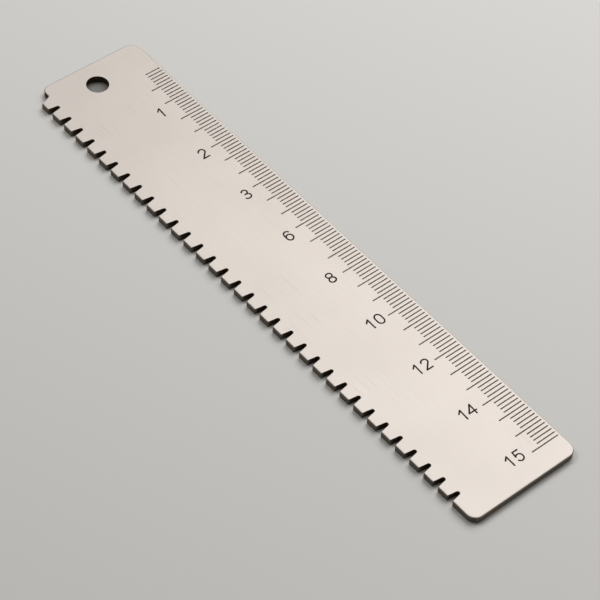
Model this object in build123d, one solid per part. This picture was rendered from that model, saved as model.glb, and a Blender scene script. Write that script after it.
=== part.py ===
from build123d import *

import os

# A flat metal ruler, cut from one plate and lying with its marked face up.
# The hole end is at -X and the end with the high numbers is at +X.
# The notched edge is at -Y and the graduated edge is at +Y.
# The origin is at the middle of the underside, and sizes are in millimetres.

# The scale, and the bare plate before its first mark and after its last
SCALE_LENGTH = 150.0
HOLE_END_MARGIN = 11.8
PLAIN_END_MARGIN = 6.15

# The plate, with the edges of both flat faces rounded
WIDTH = 32.9
THICKNESS = 2.0
HOLE_END_CORNER_RADIUS = 3.3
PLAIN_END_CORNER_RADIUS = 2.6
EDGE_ROUNDING = 0.3

# The hanging hole
HOLE_DIAMETER = 6.0
HOLE_FROM_END = 7.3
HOLE_FROM_NOTCHED_EDGE = 15.55

# The notch row: slots that narrow from the mouth to a round root
NOTCH_PITCH = 4.9
NOTCH_DEPTH = 2.95
NOTCH_MOUTH = 1.92
NOTCH_ROOT_RADIUS = 0.57
FIRST_NOTCH_FROM_END = 8.0
NOTCHES_STOP_BEFORE_TIP = 7.5

# The corner between the hole end and the notches, broken away as deep as a notch
BREAK_AT_EDGE = 4.45
BREAK_AT_ROOT = 3.3
BROKEN_CORNER_RADIUS = 2.0

# The graduation: engraved marks in groups, and a longer mark ends each group
GROUP_COUNT = 26
GROUP_DIVISION_COUNT = 5
WIDE_GROUP_DIVISION_COUNT = 6
WIDE_GROUP_NUMBERS = (3, 5, 13)
MARK_WIDTH = 0.34
MARK_DEPTH = 0.1
MARK_FROM_EDGE = 0.65

# Both kinds of mark grow evenly along the scale, from the hole end to the plain end
SHORT_MARK_AT_START = 4.6
SHORT_MARK_AT_END = 5.8
LONG_MARK_AT_START = 6.9
LONG_MARK_AT_END = 8.4

LENGTH = HOLE_END_MARGIN + SCALE_LENGTH + PLAIN_END_MARGIN
HOLE_END = -LENGTH / 2
NOTCHED_EDGE = -WIDTH / 2
GRADUATED_EDGE = WIDTH / 2


def notch_places():
    """Distance of every whole notch from the hole end."""
    run = LENGTH - NOTCHES_STOP_BEFORE_TIP - FIRST_NOTCH_FROM_END
    steps = int(run / NOTCH_PITCH)
    return [FIRST_NOTCH_FROM_END + NOTCH_PITCH * step for step in range(steps + 1)]


def mark_length(place, is_long):
    """Length of the mark at a distance from the first one."""
    share = place / SCALE_LENGTH
    if is_long:
        return LONG_MARK_AT_START + share * (LONG_MARK_AT_END - LONG_MARK_AT_START)
    return SHORT_MARK_AT_START + share * (SHORT_MARK_AT_END - SHORT_MARK_AT_START)


def mark_places():
    """Distance from the first mark and length of every mark of the scale."""
    divisions = [
        WIDE_GROUP_DIVISION_COUNT if group in WIDE_GROUP_NUMBERS else GROUP_DIVISION_COUNT
        for group in range(1, GROUP_COUNT + 1)
    ]
    pitch = SCALE_LENGTH / sum(divisions)
    places = [(0.0, mark_length(0.0, False))]
    for in_group in divisions:
        for division in range(1, in_group + 1):
            place = len(places) * pitch
            places.append((place, mark_length(place, division == in_group)))
    return places


def break_away():
    """Section of the broken corner, with the plate's whole corner at the origin."""
    with BuildSketch() as section:
        with BuildLine():
            Polyline(
                (-BREAK_AT_EDGE, NOTCH_DEPTH),
                (BREAK_AT_ROOT, NOTCH_DEPTH),
                (BREAK_AT_EDGE, 0),
                (BREAK_AT_EDGE, -NOTCH_DEPTH),
                (-BREAK_AT_EDGE, -NOTCH_DEPTH),
                close=True,
            )
        make_face()
        inner_corner = section.vertices().sort_by_distance((BREAK_AT_ROOT, NOTCH_DEPTH))[0]
        fillet(inner_corner, NOTCH_ROOT_RADIUS)
    return section.sketch


def outline():
    """The plate's outline, with the broken corner and without the notches."""
    with BuildSketch() as plate:
        Rectangle(LENGTH, WIDTH)
        fillet(plate.vertices().group_by(Axis.X)[-1], PLAIN_END_CORNER_RADIUS)
        hole_end_corner = plate.vertices().sort_by_distance((HOLE_END, GRADUATED_EDGE))[0]
        fillet(hole_end_corner, HOLE_END_CORNER_RADIUS)
        with Locations((HOLE_END, NOTCHED_EDGE)):
            add(break_away(), mode=Mode.SUBTRACT)
        broken_corner = plate.vertices().sort_by_distance(
            (HOLE_END, NOTCHED_EDGE + NOTCH_DEPTH)
        )[0]
        fillet(broken_corner, BROKEN_CORNER_RADIUS)
    return plate.sketch


def notch():
    """Section of one notch, with its mouth centred on the origin and its root at +Y."""
    root_start = NOTCH_DEPTH - NOTCH_ROOT_RADIUS
    flare = (NOTCH_MOUTH / 2 - NOTCH_ROOT_RADIUS) / root_start
    outside = NOTCH_DEPTH
    outside_half = NOTCH_MOUTH / 2 + flare * outside
    with BuildSketch() as section:
        with BuildLine():
            Polyline(
                (-NOTCH_ROOT_RADIUS, root_start),
                (-outside_half, -outside),
                (outside_half, -outside),
                (NOTCH_ROOT_RADIUS, root_start),
            )
            ThreePointArc(
                (NOTCH_ROOT_RADIUS, root_start),
                (0, NOTCH_DEPTH),
                (-NOTCH_ROOT_RADIUS, root_start),
            )
        make_face()
    return section.sketch


def through_cuts():
    """Everything that is cut right through: the notch row and the hanging hole."""
    with BuildSketch() as cuts:
        for place in notch_places():
            with Locations((HOLE_END + place, NOTCHED_EDGE)):
                add(notch())
        hole_centre = (HOLE_END + HOLE_FROM_END, NOTCHED_EDGE + HOLE_FROM_NOTCHED_EDGE)
        with Locations(hole_centre):
            Circle(HOLE_DIAMETER / 2)
    return cuts.sketch


def marks():
    """The marks of the scale, seen from above."""
    first_mark = HOLE_END + HOLE_END_MARGIN
    far_end = GRADUATED_EDGE - MARK_FROM_EDGE
    with BuildSketch() as lines:
        for place, length in mark_places():
            with Locations((first_mark + place, far_end)):
                Rectangle(MARK_WIDTH, length, align=(Align.CENTER, Align.MAX))
    return lines.sketch


def ruler():
    """The plate with rounded edges, its notches and hole cut and its scale engraved."""
    with BuildPart() as body:
        add(outline())
        extrude(amount=THICKNESS)
        fillet(body.faces().filter_by(Axis.Z).edges(), EDGE_ROUNDING)
        add(through_cuts())
        extrude(amount=THICKNESS, mode=Mode.SUBTRACT)
        with BuildSketch(Plane.XY.offset(THICKNESS)):
            add(marks())
        extrude(amount=-MARK_DEPTH, mode=Mode.SUBTRACT)
    return body.part


os.makedirs("parts", exist_ok=True)
export_step(ruler(), "parts/ruler.step")
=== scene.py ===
# Looks of the flat metal ruler: brushed pale metal, dark scale marks and numbers, a pale studio.
# Lengths are in metres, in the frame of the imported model: hole end at -X, graduated edge at +Y.
import math

import bmesh
import bpy
from mathutils import Matrix, Vector


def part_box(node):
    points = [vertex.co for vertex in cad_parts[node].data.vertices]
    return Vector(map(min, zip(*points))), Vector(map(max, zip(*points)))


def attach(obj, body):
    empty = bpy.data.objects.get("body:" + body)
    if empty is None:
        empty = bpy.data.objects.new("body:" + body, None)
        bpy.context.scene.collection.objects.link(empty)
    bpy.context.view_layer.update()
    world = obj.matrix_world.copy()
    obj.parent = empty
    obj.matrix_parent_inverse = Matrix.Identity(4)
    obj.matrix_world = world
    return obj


MM = 0.001

# Camera, as the photograph was taken: angles in degrees, azimuth from -Y towards +X
CAMERA_TARGET = Vector((0.010655, -0.00589, 0.00200))
CAMERA_DISTANCE = 0.57085
CAMERA_AZIMUTH = 45.497
CAMERA_ELEVATION = 49.494
CAMERA_ROLL = 5.870
CAMERA_LENS_MM = 142.61
CAMERA_SENSOR_MM = 36.0
CAMERA_SEES_FROM = 0.01
CAMERA_SEES_TO = 20.0

# Softboxes: name, azimuth from +X towards +Y and elevation in degrees, distance, size and power
SOFTBOXES = (
    ("back_softbox", 113, 54, 0.93, 0.76, 7.40),
    ("side_softbox", 211, 56, 1.23, 0.49, 3.98),
)

# The world's light, and what the metal reflects of it: dim behind the object and pale on the
# photographer's side. A direction's share of PALE_SIDE says how far it is on that side.
WORLD_COLOUR = (236, 236, 236)
WORLD_STRENGTH = 0.11
DIM_SIDE_IN_METAL = 0.36
PALE_SIDE_IN_METAL = 1.00
PALE_SIDE = (0.85, -0.53, 0.0)
PALE_SIDE_STARTS = 0.05
PALE_SIDE_FULL = 0.60

# Colours of the materials, in the screen's values from 0 to 255
FACE_DARK = (171, 164, 158)
FACE_LIGHT = (175, 168, 162)
CLOUD_COLOUR = (166, 159, 152)
SCRATCH_COLOUR = (150, 143, 134)
# Cut walls: a duller colour of their own, darkened partly as painted shade. The walls in the
# notches and the hole are darker still, as painted shade.
WALL_DARK = (88, 82, 72)
WALL_LIGHT = (113, 106, 95)
SHADED_INNER_WALL_DARK = (58, 47, 38)
SHADED_INNER_WALL_LIGHT = (76, 64, 53)
FILL_DARK = (74, 65, 55)
FILL_LIGHT = (92, 82, 70)
NUMBER_DARK = (22, 14, 8)
NUMBER_LIGHT = (40, 29, 19)

# Noise runs from 0 to 1, and most of it lies in this range
NOISE_RANGE = (0.30, 0.70)

# The metal's brushing, cloudy patches and grain
BRUSH_SIZE = 0.36 * MM
BRUSH_STRETCH = (0.06, 1.0, 1.0)
BRUSH_HEIGHT = 0.0005 * MM
CLOUD_SIZE = 22 * MM
CLOUD_RANGE = (0.40, 0.70)
CLOUD_STRENGTH = 0.45
GRAIN_SIZE = 0.35 * MM
GRAIN_HEIGHT = 0.001 * MM

# Faint scratches along the plate, only in the patches where it was handled
SCRATCH_SIZE = 0.40 * MM
SCRATCH_STRETCH = (0.035, 1.0, 1.0)
SCRATCH_RANGE = (0.67, 0.75)
SCRATCH_STRENGTH = 0.26
HANDLED_SIZE = 14 * MM
HANDLED_RANGE = (0.52, 0.62)

# How upright a surface's normal may be on a cut wall, and has to be on a flat face. A rounded
# edge changes from one to the other in between, and over its lower part takes on the walls'
# darker colour, which is partly painted shade.
WALL_TO_FACE = (0.40, 0.78)

# Painted shade in the notches and the hole: how far in from the plate's edges a cut wall starts
# to darken and is fully dark
INNER_WALL_SHADE_STARTS = 0.30 * MM
INNER_WALL_SHADE_FULL = 0.90 * MM

# Roughness
BRUSHED_ROUGHNESS = (0.54, 0.56)
WALL_EXTRA_ROUGHNESS = 0.12
PAINT_ROUGHNESS = (0.50, 0.70)
PAPER_ROUGHNESS = 0.9
MATT_SPECULAR_LEVEL = 0.1

# The paint's unevenness
PAINT_GRAIN_SIZE = 0.4 * MM
PAINT_GRAIN_HEIGHT = 0.004 * MM

# The scale's marks. A groove's floor lies at least this far under the plate's face and looks
# up, with at least this much of its normal. The groove's paint stops just under the face.
GROOVE_AT_LEAST = 0.03 * MM
LOOKS_UP = 0.9
FILL_GAP = 0.02 * MM

# The numbers: thin strokes of paint on the face
DIGIT_HEIGHT = 3.40 * MM
DIGIT_WIDTH = 2.25 * MM
ONE_WIDTH = 1.30 * MM
DIGIT_SPACE = 1.25 * MM
STROKE_WIDTH = 0.42 * MM
PAINT_RAISED = 0.012 * MM
PAINT_SUNK = 0.010 * MM

# Each further stroke of a digit is this much narrower, so that no edges of two strokes coincide
NARROWER = 0.010 * MM

# How fine the strokes' arcs and round ends are, and how near two points count as one
ARC_STEP_DEGREES = 12
ROUND_END_STEPS = 8
SAME_POINT = 1e-7

# The mitre of a sharp bend is worked out with at least this cosine, so it reaches out by no
# more than a whole stroke width
LEAST_MITRE_COSINE = 0.5

# Each number, its middle from the hole end, its right side from the graduated edge, and its
# lean in degrees
NUMBERS = (
    ("1", 25.1 * MM, 9.95 * MM, 3.5),
    ("2", 42.8 * MM, 9.65 * MM, 0.0),
    ("3", 60.1 * MM, 9.75 * MM, 0.0),
    ("6", 77.1 * MM, 10.15 * MM, 0.0),
    ("8", 93.7 * MM, 10.65 * MM, 0.0),
    ("10", 110.6 * MM, 9.75 * MM, 0.0),
    ("12", 127.7 * MM, 10.05 * MM, 2.0),
    ("14", 144.2 * MM, 10.55 * MM, 3.0),
    ("15", 160.6 * MM, 11.05 * MM, 1.0),
)

# How far the floor reaches each way from the object's middle
FLOOR_REACH = 3.0

# Painted light on the floor: the paper is painted darker at the notched side and lighter at the
# graduated one. The change is spread this far each side of the middle, and turned a little
# towards the plain end.
NOTCHED_SIDE_SHADED_PAPER = (204, 202, 198)
GRADUATED_SIDE_LIT_PAPER = (218, 216, 212)
PAINTED_LIGHT_CHANGES_OVER = 0.12
PAINTED_LIGHT_TURNED = 0.1

# Painted light: the floor is painted lighter away from the object, where the lamps no longer
# reach
FAR_PAINTED_LIGHT_PAPER = (244, 242, 238)
FLOOR_PAINTED_PALER_FROM = 0.45
FLOOR_PAINTED_PALEST_FROM = 1.20

# Painted shade: how far in from the plate's edges the floor under it starts to darken and is
# fully
# dark. Only the hole shows it: the notches are shallower than the start.
SHADED_PAPER = (128, 126, 122)
FLOOR_SHADE_STARTS = 3.30 * MM
FLOOR_SHADE_FULL = 4.20 * MM

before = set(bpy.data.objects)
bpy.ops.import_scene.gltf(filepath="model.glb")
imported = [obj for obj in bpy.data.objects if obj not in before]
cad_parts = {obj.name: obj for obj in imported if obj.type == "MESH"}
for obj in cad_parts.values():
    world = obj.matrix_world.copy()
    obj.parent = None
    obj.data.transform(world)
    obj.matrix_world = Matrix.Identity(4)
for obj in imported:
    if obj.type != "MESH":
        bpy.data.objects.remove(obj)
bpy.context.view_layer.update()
PLATE_LOW, PLATE_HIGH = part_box("ruler")


class Nodes:
    """Short calls for building a node tree."""

    def __init__(self, tree):
        self.tree = tree
        tree.nodes.clear()

    def add(self, kind, **settings):
        """A new node of a kind, with its settings."""
        node = self.tree.nodes.new(kind)
        for name, value in settings.items():
            setattr(node, name, value)
        return node

    def put(self, value, socket):
        """Links an output to the socket, or sets a constant there."""
        if isinstance(value, bpy.types.NodeSocket):
            self.tree.links.new(value, socket)
        else:
            socket.default_value = value

    def math(self, operation, first, second=0.0):
        """The result of an operation on one or two values."""
        node = self.add("ShaderNodeMath", operation=operation)
        self.put(first, node.inputs[0])
        self.put(second, node.inputs[1])
        return node.outputs[0]

    def place(self):
        """Place on the object, in metres."""
        return self.add("ShaderNodeTexCoord").outputs["Object"]

    def split(self, vector):
        """The outputs X, Y and Z of a vector."""
        node = self.add("ShaderNodeSeparateXYZ")
        self.put(vector, node.inputs["Vector"])
        return node.outputs

    def noise(self, size, stretch=(1.0, 1.0, 1.0), detail=2.0, roughness=0.5):
        """Noise with features of about the given size, longer along an axis of small stretch."""
        mapping = self.add("ShaderNodeMapping")
        mapping.inputs["Scale"].default_value = stretch
        self.put(self.place(), mapping.inputs["Vector"])
        node = self.add("ShaderNodeTexNoise")
        self.put(mapping.outputs["Vector"], node.inputs["Vector"])
        node.inputs["Scale"].default_value = 1.0 / size
        node.inputs["Detail"].default_value = detail
        node.inputs["Roughness"].default_value = roughness
        return node.outputs["Fac"]

    def between(self, value, low, high, to_low=0.0, to_high=1.0):
        """Maps low..high to to_low..to_high, held at both ends."""
        node = self.add("ShaderNodeMapRange")
        self.put(value, node.inputs["Value"])
        node.inputs["From Min"].default_value = low
        node.inputs["From Max"].default_value = high
        node.inputs["To Min"].default_value = to_low
        node.inputs["To Max"].default_value = to_high
        return node.outputs["Result"]

    def mix(self, share, first, second):
        """The first colour at a share of 0, the second at a share of 1."""
        node = self.add("ShaderNodeMix", data_type="RGBA")
        self.put(share, node.inputs["Factor"])
        self.put(first, node.inputs["A"])
        self.put(second, node.inputs["B"])
        return node.outputs["Result"]

    def bump(self, height, distance, normal=None):
        """A normal tilted by a height from 0 to 1 that stands for the distance."""
        node = self.add("ShaderNodeBump")
        self.put(height, node.inputs["Height"])
        node.inputs["Distance"].default_value = distance
        if normal is not None:
            self.put(normal, node.inputs["Normal"])
        return node.outputs["Normal"]


def linear(value):
    """The sRGB curve of screens undone, for a value from 0 to 1."""
    if value <= 0.04045:
        return value / 12.92
    return ((value + 0.055) / 1.055) ** 2.4


def colour(on_screen):
    """A shader's colour, from the screen's values from 0 to 255."""
    return (*[linear(value / 255) for value in on_screen], 1.0)


def new_material(name):
    """A new material, with calls for its nodes and its shader."""
    material = bpy.data.materials.new(name)
    material.use_nodes = True
    nodes = Nodes(material.node_tree)
    shader = nodes.add("ShaderNodeBsdfPrincipled")
    output = nodes.add("ShaderNodeOutputMaterial")
    nodes.put(shader.outputs["BSDF"], output.inputs["Surface"])
    return material, nodes, shader


def inside_outline(nodes, starts, full):
    """0 up to the distance starts in from the plate's edges, 1 beyond the distance full."""
    place = nodes.split(nodes.place())
    shares = []
    for axis, edge in (("X", PLATE_HIGH.x), ("Y", PLATE_HIGH.y)):
        across = nodes.math("ABSOLUTE", place[axis])
        shares.append(nodes.between(across, edge - full, edge - starts, 1.0, 0.0))
    return nodes.math("MULTIPLY", *shares)


def face_colour(nodes, brushed):
    """The flat faces: nearly even, with cloudy patches and a few faint scratches."""
    streaks = nodes.between(brushed, *NOISE_RANGE)
    face = nodes.mix(streaks, colour(FACE_DARK), colour(FACE_LIGHT))
    cloudy = nodes.noise(CLOUD_SIZE, detail=3.0)
    clouds = nodes.between(cloudy, *CLOUD_RANGE, 0.0, CLOUD_STRENGTH)
    face = nodes.mix(clouds, face, colour(CLOUD_COLOUR))
    scratched = nodes.noise(SCRATCH_SIZE, stretch=SCRATCH_STRETCH, detail=0.0)
    handled = nodes.noise(HANDLED_SIZE, detail=1.0)
    scratches = nodes.math(
        "MULTIPLY",
        nodes.between(scratched, *SCRATCH_RANGE),
        nodes.between(handled, *HANDLED_RANGE, 0.0, SCRATCH_STRENGTH),
    )
    return nodes.mix(scratches, face, colour(SCRATCH_COLOUR))


def wall_colour(nodes, grain):
    """The cut walls: darker than the face, partly as painted shade, and darker still in the
    notches and the hole as painted shade.
    """
    outer = nodes.mix(grain, colour(WALL_DARK), colour(WALL_LIGHT))
    shaded_inner = nodes.mix(grain, colour(SHADED_INNER_WALL_DARK), colour(SHADED_INNER_WALL_LIGHT))
    inside = inside_outline(nodes, INNER_WALL_SHADE_STARTS, INNER_WALL_SHADE_FULL)
    return nodes.mix(inside, outer, shaded_inner)


def metal():
    """Satin metal, brushed along its length, with darker and rougher cut walls, their darkness
    partly painted shade.
    """
    material, nodes, shader = new_material("brushed_metal")
    brushed = nodes.noise(BRUSH_SIZE, stretch=BRUSH_STRETCH, detail=3.0, roughness=0.6)
    grain = nodes.noise(GRAIN_SIZE)
    normal = nodes.add("ShaderNodeNewGeometry").outputs["Normal"]
    upright = nodes.math("ABSOLUTE", nodes.split(normal)["Z"])
    wall = nodes.between(upright, *WALL_TO_FACE, 1.0, 0.0)
    surface = nodes.mix(wall, face_colour(nodes, brushed), wall_colour(nodes, grain))
    nodes.put(surface, shader.inputs["Base Color"])
    shader.inputs["Metallic"].default_value = 1.0

    rough = nodes.between(brushed, *NOISE_RANGE, *BRUSHED_ROUGHNESS)
    extra = nodes.math("MULTIPLY", wall, WALL_EXTRA_ROUGHNESS)
    nodes.put(nodes.math("ADD", rough, extra), shader.inputs["Roughness"])
    relief = nodes.bump(brushed, BRUSH_HEIGHT)
    relief = nodes.bump(grain, GRAIN_HEIGHT, normal=relief)
    nodes.put(relief, shader.inputs["Normal"])
    return material


def paint(name, dark, light):
    """Dark brown-black paint, matt and a little uneven."""
    material, nodes, shader = new_material(name)
    uneven = nodes.noise(PAINT_GRAIN_SIZE, detail=3.0)
    rough = nodes.between(uneven, *NOISE_RANGE, *PAINT_ROUGHNESS)
    nodes.put(nodes.mix(uneven, colour(dark), colour(light)), shader.inputs["Base Color"])
    nodes.put(rough, shader.inputs["Roughness"])
    shader.inputs["Specular IOR Level"].default_value = MATT_SPECULAR_LEVEL
    nodes.put(nodes.bump(uneven, PAINT_GRAIN_HEIGHT), shader.inputs["Normal"])
    return material


def floor_material():
    """Pale paper, painted lighter towards the graduated edge and far from the object as painted
    light, and darker under the plate as painted shade.
    """
    material, nodes, shader = new_material("studio_paper")
    place = nodes.place()
    axes = nodes.split(place)
    # Painted light: the paper darker at the notched side and lighter at the graduated one
    turned = nodes.math("MULTIPLY", axes["X"], PAINTED_LIGHT_TURNED)
    across = nodes.math("ADD", axes["Y"], turned)
    side = nodes.between(across, -PAINTED_LIGHT_CHANGES_OVER, PAINTED_LIGHT_CHANGES_OVER)
    near = nodes.mix(side, colour(NOTCHED_SIDE_SHADED_PAPER), colour(GRADUATED_SIDE_LIT_PAPER))
    # Painted light: the paper paler far from the object, where the lamps don't reach
    distance = nodes.add("ShaderNodeVectorMath", operation="LENGTH")
    nodes.put(place, distance.inputs[0])
    away = nodes.between(distance.outputs["Value"], FLOOR_PAINTED_PALER_FROM, FLOOR_PAINTED_PALEST_FROM)
    paper = nodes.mix(away, near, colour(FAR_PAINTED_LIGHT_PAPER))
    # Painted shade: the paper darker under the plate, seen through the hole
    under = inside_outline(nodes, FLOOR_SHADE_STARTS, FLOOR_SHADE_FULL)
    nodes.put(nodes.mix(under, paper, colour(SHADED_PAPER)), shader.inputs["Base Color"])
    shader.inputs["Roughness"].default_value = PAPER_ROUGHNESS
    shader.inputs["Specular IOR Level"].default_value = MATT_SPECULAR_LEVEL
    return material


def mesh_object(name, shape, material):
    """A new object in the scene from a finished shape, in one material."""
    mesh = bpy.data.meshes.new(name)
    shape.to_mesh(mesh)
    shape.free()
    mesh.materials.append(material)
    made = bpy.data.objects.new(name, mesh)
    bpy.context.scene.collection.objects.link(made)
    return made


def add_prism(shape, outline, low, high):
    """A closed prism over an anticlockwise outline of (x, y) points, from low to high."""
    bottom = [shape.verts.new((x, y, low)) for x, y in outline]
    top = [shape.verts.new((x, y, high)) for x, y in outline]
    shape.faces.new(bottom[::-1])
    shape.faces.new(top)
    for i in range(len(outline)):
        shape.faces.new((bottom[i - 1], bottom[i], top[i], top[i - 1]))


def box_of(points):
    """Lowest and highest corner of the box around points."""
    low = tuple(min(values) for values in zip(*points))
    high = tuple(max(values) for values in zip(*points))
    return low, high


def groove_floors(plate):
    """Lowest and highest corner of every groove's oblong floor, in order along the scale."""
    middle = (PLATE_LOW.z + PLATE_HIGH.z) / 2
    shallowest = PLATE_HIGH.z - GROOVE_AT_LEAST
    pieces = []
    for face in plate.data.polygons:
        if face.normal.z > LOOKS_UP and middle < face.center.z < shallowest:
            pieces.append(box_of([plate.data.vertices[index].co for index in face.vertices]))
    grooves = []
    reached = -math.inf
    for low, high in sorted(pieces):
        if low[0] > reached:
            grooves.append([])
        grooves[-1] += [low, high]
        reached = max(reached, high[0])
    return [box_of(corners) for corners in grooves]


def scale_fill(plate, material):
    """Paint in every groove of the scale, on the groove's own floor."""
    shape = bmesh.new()
    for (left, near, floor), (right, far, _) in groove_floors(plate):
        outline = [(left, near), (right, near), (right, far), (left, far)]
        add_prism(shape, outline, floor, PLATE_HIGH.z - FILL_GAP)
    return mesh_object("scale_fill", shape, material)


def arc(centre, radii, start, end):
    """Points along an elliptic arc, from start to end in degrees."""
    steps = max(2, round(abs(end - start) / ARC_STEP_DEGREES))
    angles = [math.radians(start + (end - start) * i / steps) for i in range(steps + 1)]
    return [
        (centre[0] + radii[0] * math.cos(angle), centre[1] + radii[1] * math.sin(angle))
        for angle in angles
    ]


# Centrelines of each digit's strokes, in a box from (0, 0) to (1, 1), which the 4 leaves a little
DIGITS = {
    "0": [
        arc((0.5, 0.66), (0.5, 0.34), 0, 180),
        [(0.0, 0.66)] + arc((0.5, 0.34), (0.5, 0.34), 180, 360) + [(1.0, 0.66)],
    ],
    "1": [
        [(0.0, 0.74), (1.0, 1.0)],
        [(1.0, 1.0), (1.0, 0.0)],
    ],
    "2": [
        arc((0.5, 0.72), (0.5, 0.28), 165, -25) + [(0.0, 0.0)],
        [(0.0, 0.0), (1.0, 0.0)],
    ],
    "3": [
        arc((0.50, 0.76), (0.42, 0.24), 155, -90) + [(0.32, 0.52)],
        arc((0.50, 0.26), (0.50, 0.26), 90, -155),
    ],
    "4": [
        [(0.70, 1.0), (-0.22, 0.29)],
        [(-0.22, 0.29), (1.0, 0.29)],
        [(0.70, 1.0), (0.70, 0.0)],
    ],
    "5": [
        [(0.14, 1.0), (0.95, 1.0)],
        [(0.14, 1.0), (0.06, 0.58)],
        arc((0.48, 0.33), (0.52, 0.33), 145, -150),
    ],
    "6": [
        arc((0.5, 0.66), (0.5, 0.34), 35, 180) + arc((0.5, 0.32), (0.5, 0.32), 180, 360),
        arc((0.5, 0.32), (0.5, 0.32), 0, 180),
    ],
    "8": [
        arc((0.5, 0.76), (0.45, 0.24), 0, 270) + arc((0.5, 0.26), (0.5, 0.26), 90, -90),
        arc((0.5, 0.76), (0.45, 0.24), 0, -90) + arc((0.5, 0.26), (0.5, 0.26), 90, 270),
    ],
}


def round_end(centre, direction, half_width):
    """Points round a stroke's end, clockwise from its left side to its right."""
    start = math.atan2(direction.y, direction.x) + math.pi / 2
    angles = [start - math.pi * step / ROUND_END_STEPS for step in range(1, ROUND_END_STEPS)]
    return [
        centre + half_width * Vector((math.cos(angle), math.sin(angle))) for angle in angles
    ]


def stroke_outline(points, half_width):
    """Outline of a stroke along points, with round ends, anticlockwise."""
    path = []
    for point in points:
        if not path or (point - path[-1]).length > SAME_POINT:
            path.append(point)
    directions = [(after - before).normalized() for before, after in zip(path, path[1:])]
    left = []
    right = []
    for i, point in enumerate(path):
        before = directions[max(i - 1, 0)]
        after = directions[min(i, len(directions) - 1)]
        along = (before + after).normalized()
        reach = half_width / max(along.dot(after), LEAST_MITRE_COSINE)
        side = Vector((-along.y, along.x)) * reach
        left.append(point + side)
        right.append(point - side)
    far_end = round_end(path[-1], directions[-1], half_width)
    near_end = round_end(path[0], -directions[0], half_width)
    clockwise = left + far_end + right[::-1] + near_end
    return clockwise[::-1]


def stroke_points(stroke, place, start, width, lean):
    """A stroke's centreline on the face. Digits have their tops to -X and are read along +Y."""
    inner_height = DIGIT_HEIGHT - STROKE_WIDTH
    inner_width = width - STROKE_WIDTH
    points = []
    for x, y in stroke:
        up = y * inner_height - inner_height / 2
        right = start + STROKE_WIDTH / 2 + x * inner_width
        right += up * math.tan(math.radians(lean))
        points.append(place + Vector((-up, right)))
    return points


def stroke_outlines():
    """A list of the outlines of all first strokes, one of all second strokes, and so on."""
    outlines = {}
    for text, middle, inset, lean in NUMBERS:
        widths = [ONE_WIDTH if digit == "1" else DIGIT_WIDTH for digit in text]
        start = -sum(widths) - DIGIT_SPACE * (len(text) - 1)
        place = Vector((PLATE_LOW.x + middle, PLATE_HIGH.y - inset))
        for digit, width in zip(text, widths):
            for order, stroke in enumerate(DIGITS[digit]):
                points = stroke_points(stroke, place, start, width, lean)
                outline = stroke_outline(points, (STROKE_WIDTH - order * NARROWER) / 2)
                outlines.setdefault(order, []).append(outline)
            start += width + DIGIT_SPACE
    return [outlines[order] for order in sorted(outlines)]


def stroke_layer(name, outlines, material):
    """A layer of strokes that don't cross each other, as thin prisms in one mesh."""
    shape = bmesh.new()
    for outline in outlines:
        add_prism(shape, outline, PLATE_HIGH.z - PAINT_SUNK, PLATE_HIGH.z + PAINT_RAISED)
    return mesh_object(name, shape, material)


def numbers(material):
    """Every number of the scale as one piece, its crossing strokes united."""
    layers = [
        stroke_layer(f"number_strokes_{order}", outlines, material)
        for order, outlines in enumerate(stroke_outlines())
    ]
    for other in layers[1:]:
        union = layers[0].modifiers.new("union", "BOOLEAN")
        union.operation = "UNION"
        union.solver = "EXACT"
        union.object = other
    shape = bmesh.new()
    shape.from_object(layers[0], bpy.context.evaluated_depsgraph_get())
    for layer in layers:
        bpy.data.objects.remove(layer)
    return mesh_object("numbers", shape, material)


def studio_floor():
    """A wide pale floor that the plate lies on."""
    shape = bmesh.new()
    bmesh.ops.create_grid(shape, x_segments=1, y_segments=1, size=FLOOR_REACH)
    floor = mesh_object("studio_floor", shape, floor_material())
    floor.location.z = PLATE_LOW.z


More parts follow.
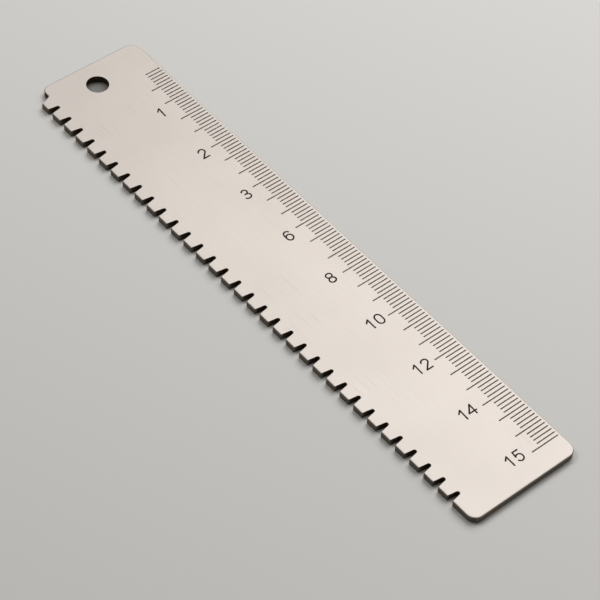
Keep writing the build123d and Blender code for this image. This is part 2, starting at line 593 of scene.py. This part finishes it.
def studio_world():
    """Even light from all round, in which the metal sees one side pale and the other dim."""
    world = bpy.data.worlds.new("studio")
    world.use_nodes = True
    bpy.context.scene.world = world
    nodes = Nodes(world.node_tree)
    towards = nodes.add("ShaderNodeVectorMath", operation="DOT_PRODUCT")
    nodes.put(nodes.add("ShaderNodeTexCoord").outputs["Generated"], towards.inputs[0])
    nodes.put(PALE_SIDE, towards.inputs[1])
    more_in_metal = nodes.between(
        towards.outputs["Value"],
        PALE_SIDE_STARTS,
        PALE_SIDE_FULL,
        DIM_SIDE_IN_METAL - WORLD_STRENGTH,
        PALE_SIDE_IN_METAL - WORLD_STRENGTH,
    )
    in_metal = nodes.add("ShaderNodeLightPath").outputs["Is Glossy Ray"]
    more = nodes.math("MULTIPLY", in_metal, more_in_metal)
    background = nodes.add("ShaderNodeBackground")
    background.inputs["Color"].default_value = colour(WORLD_COLOUR)
    nodes.put(nodes.math("ADD", WORLD_STRENGTH, more), background.inputs["Strength"])
    output = nodes.add("ShaderNodeOutputWorld")
    nodes.put(background.outputs["Background"], output.inputs["Surface"])


def softbox(name, azimuth, elevation, distance, size, power):
    """A square lamp that faces the object's middle."""
    data = bpy.data.lights.new(name, "AREA")
    data.shape = "SQUARE"
    data.size = size
    data.energy = power
    lamp = bpy.data.objects.new(name, data)
    turn = math.radians(azimuth)
    rise = math.radians(elevation)
    direction = Vector(
        (math.cos(turn) * math.cos(rise), math.sin(turn) * math.cos(rise), math.sin(rise))
    )
    lamp.location = direction * distance
    lamp.rotation_euler = direction.to_track_quat("Z", "Y").to_euler()
    bpy.context.scene.collection.objects.link(lamp)


def camera():
    """The camera, where the photograph was taken from."""
    turn = math.radians(CAMERA_AZIMUTH)
    rise = math.radians(CAMERA_ELEVATION)
    back = Vector(
        (math.sin(turn) * math.cos(rise), -math.cos(turn) * math.cos(rise), math.sin(rise))
    )
    data = bpy.data.cameras.new("camera")
    data.lens = CAMERA_LENS_MM
    data.sensor_width = CAMERA_SENSOR_MM
    data.clip_start = CAMERA_SEES_FROM
    data.clip_end = CAMERA_SEES_TO
    made = bpy.data.objects.new("camera", data)
    roll = Matrix.Rotation(math.radians(CAMERA_ROLL), 4, "Z")
    turned = back.to_track_quat("Z", "Y").to_matrix().to_4x4() @ roll
    made.matrix_world = Matrix.Translation(CAMERA_TARGET + back * CAMERA_DISTANCE) @ turned
    bpy.context.scene.collection.objects.link(made)
    bpy.context.scene.camera = made


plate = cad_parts["ruler"]
plate.data.materials[0] = metal()
fill = scale_fill(plate, paint("worn_paint", FILL_DARK, FILL_LIGHT))
digits = numbers(paint("dark_paint", NUMBER_DARK, NUMBER_LIGHT))
for piece in (fill, digits):
    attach(piece, "root")

studio_floor()
studio_world()
for lamp in SOFTBOXES:
    softbox(*lamp)
camera()
bpy.context.scene.view_settings.view_transform = "Standard"
